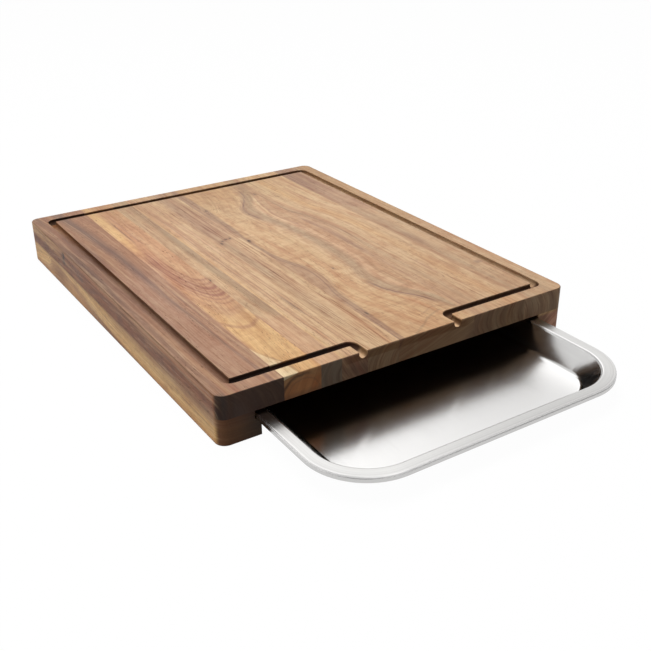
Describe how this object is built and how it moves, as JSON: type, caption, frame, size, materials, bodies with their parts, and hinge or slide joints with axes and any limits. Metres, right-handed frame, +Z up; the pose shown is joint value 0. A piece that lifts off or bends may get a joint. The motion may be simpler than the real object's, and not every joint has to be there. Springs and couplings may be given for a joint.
{
  "type": "cutting board with tray",
  "caption": "Rectangular glued-strip wooden cutting board with a juice groove, on side rails that carry a pull-out steel tray underneath.",
  "frame": {"origin": "on the surface that the board stands on, at the middle of the floor space that board and tray take up together in the rest pose, with the tray partly out", "axes": "+X across the board to the right as seen from the front, +Y along it to the back, so the tray comes out towards -Y, +Z up"},
  "size_m": [0.31, 0.496, 0.0385],
  "materials": {
    "wood_dark_brown": "oiled",
    "wood_golden": "oiled",
    "wood_grey_brown": "oiled",
    "wood_pink_tan": "oiled",
    "wood_fine_line_tan": "oiled",
    "wood_flat_sawn_beige": "oiled",
    "wood_light_golden": "oiled",
    "wood_mauve_brown": "oiled",
    "wood_rail_tan": "oiled",
    "wood_rail_red_brown": "oiled",
    "wood_rail_brown": "oiled",
    "tray_steel": "satin"
  },
  "bodies": {
    "board": {"stave_1": "wood_dark_brown", "stave_2": "wood_golden", "stave_3": "wood_grey_brown", "stave_4": "wood_pink_tan", "stave_5": "wood_fine_line_tan", "stave_6": "wood_flat_sawn_beige", "stave_7": "wood_light_golden", "stave_8": "wood_mauve_brown", "left_rail": "wood_rail_tan", "right_rail": "wood_rail_red_brown", "rear_rail": "wood_rail_brown"},
    "tray": {"tray": "tray_steel"}
  },
  "joints": [
    {"name": "tray_slide", "type": "slide", "parent": "board", "child": "tray", "axis": [0, -1, 0], "range_m": [-0.106, 0.257]}
  ]
}
